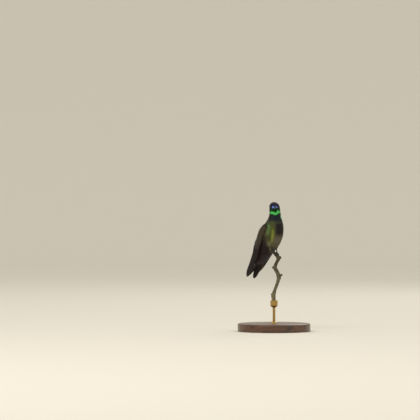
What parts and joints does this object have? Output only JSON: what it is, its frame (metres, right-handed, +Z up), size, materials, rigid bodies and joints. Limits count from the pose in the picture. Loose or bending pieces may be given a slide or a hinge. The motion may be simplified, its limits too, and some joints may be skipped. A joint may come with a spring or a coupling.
{
  "type": "perched hummingbird model",
  "caption": "Life-size still model of a perched hummingbird with folded wings, gripping a short cut twig that a rod holds upright over a round display base.",
  "frame": {"origin": "middle of the display base's flat underside", "axes": "+Z up, -Y is the way the bird's bill points, and the breast is turned 34 degrees from -Y towards +X"},
  "size_m": [0.08, 0.0838, 0.1421],
  "materials": {
    "crown_feathers": "iridescent violet-blue and bronze feathers",
    "gorget_feathers": "iridescent emerald feathers",
    "breast_feathers": "glossy bronze-green and black feathers",
    "belly_feathers": "matt grey-brown feathers",
    "covert_feathers": "bronze-green feathers with paler edges",
    "flight_feathers": "dusky purplish-brown vanes",
    "tail_feathers": "dark bronze-black vanes",
    "horn": "black horn",
    "eye": "wet dark brown",
    "bark": "rough bark",
    "stand_wood": "dark satin wood",
    "stand_brass": "satin brass"
  },
  "bodies": {
    "root": {"head": "crown_feathers", "neck": "gorget_feathers", "breast": "breast_feathers", "belly": "belly_feathers", "tail_coverts": "covert_feathers", "eye_left": "eye", "eye_right": "eye", "bill_upper": "horn", "bill_lower": "horn", "wing_left_arm": "covert_feathers", "wing_right_arm": "covert_feathers", "wing_left_secondaries": "flight_feathers", "wing_right_secondaries": "flight_feathers", "wing_left_primaries": "flight_feathers", "wing_right_primaries": "flight_feathers", "tail_left": "tail_feathers", "tail_right": "tail_feathers", "leg_left": "horn", "leg_right": "horn", "perch": "bark", "stand_base": "stand_wood", "stand_rod": "stand_brass"}
  },
  "joints": []
}
